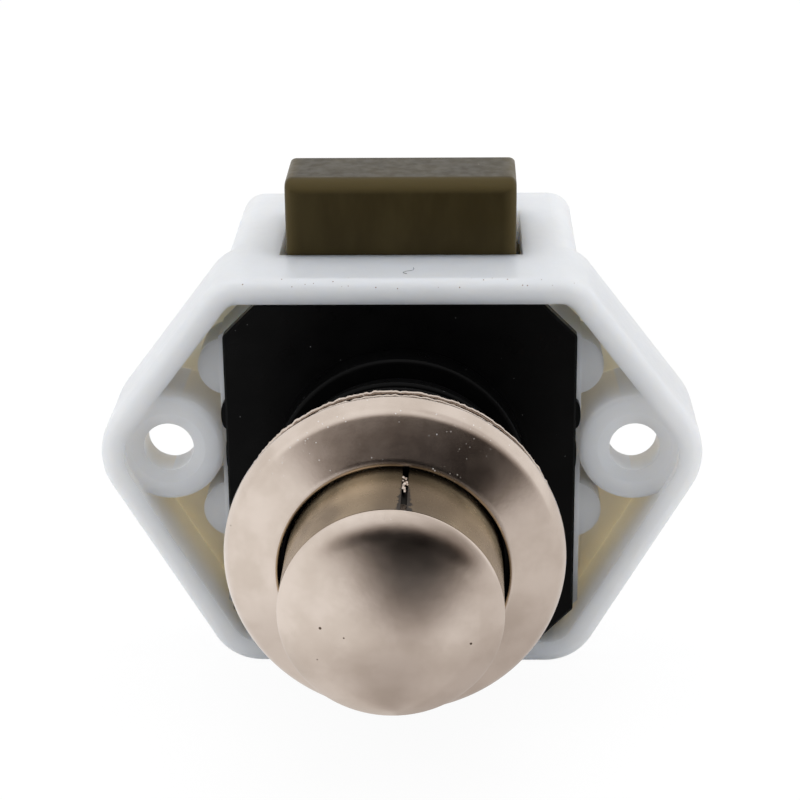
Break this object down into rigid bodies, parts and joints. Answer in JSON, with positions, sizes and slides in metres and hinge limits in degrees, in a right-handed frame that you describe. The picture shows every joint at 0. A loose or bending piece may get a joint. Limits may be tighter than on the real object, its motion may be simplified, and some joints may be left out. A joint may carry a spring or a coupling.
{
  "type": "push button cabinet lock",
  "caption": "Push button cabinet lock: pop-out knob in a round rosette, sprung slam bolt on top, six-sided moulded housing with two screw ears.",
  "frame": {"origin": "where the axis of the neck crosses the face of the housing that lies on the inside of the door", "axes": "+Z the way the bolt points, -Y the way the knob points, out of the door's front, and +X to the right seen from the front"},
  "size_m": [0.05, 0.0573, 0.0409],
  "materials": {
    "housing_plastic": "smooth white moulded ABS with soft gloss",
    "cover_plastic": "black moulded plastic, faint gloss",
    "satin_nickel": "satin nickel plate on pressed sheet",
    "sleeve_nickel": "bright nickel plate on rolled sheet",
    "plunger_plastic": "natural acetal",
    "steel": "bright zinc-plated steel",
    "spring_steel": "spring steel",
    "bolt_plastic": "olive-brown moulded nylon, slightly translucent"
  },
  "bodies": {
    "lock_case": {"housing": "housing_plastic", "cover_plate": "cover_plastic", "plunger_spring": "spring_steel", "spring_washer": "steel", "latch_leaf": "spring_steel", "bolt_spring_left": "spring_steel", "bolt_spring_right": "spring_steel", "spring_pin_left": "steel", "spring_pin_right": "steel"},
    "rosette": {"rosette_shell": "satin_nickel", "rosette_ring": "cover_plastic"},
    "knob": {"knob_cap": "satin_nickel", "knob_sleeve": "sleeve_nickel", "knob_core": "cover_plastic", "knob_screw": "steel", "plunger": "plunger_plastic", "stop_pin": "steel"},
    "latch_wire": {"latch_wire": "spring_steel"},
    "bolt": {"bolt": "bolt_plastic"}
  },
  "joints": [
    {"name": "knob_push", "type": "slide", "parent": "lock_case", "child": "knob", "axis": [0, 1, 0], "range_m": [0, 0.008], "stiffness_N_per_m": 350, "springref_m": -0.006, "deforming": ["plunger_spring"]},
    {"name": "bolt_slide", "type": "slide", "parent": "lock_case", "child": "bolt", "axis": [0, 0, -1], "range_m": [0, 0.0062], "stiffness_N_per_m": 300, "springref_m": -0.006, "deforming": ["bolt_spring_left", "bolt_spring_right"]},
    {"name": "latch_swing", "type": "hinge", "parent": "lock_case", "child": "latch_wire", "pos_m": [0, 0.0048, -0.012], "axis": [0, 1, 0], "range_deg": [0, 8.1]},
    {"name": "rosette_turn", "type": "hinge", "parent": "lock_case", "child": "rosette", "pos_m": [0, -0.0166, 0], "axis": [0, 1, 0], "continuous": true}
  ],
  "couplings": [
    {"joint": "latch_swing", "follows": "knob_push", "rad_per_m": 17.453}
  ]
}
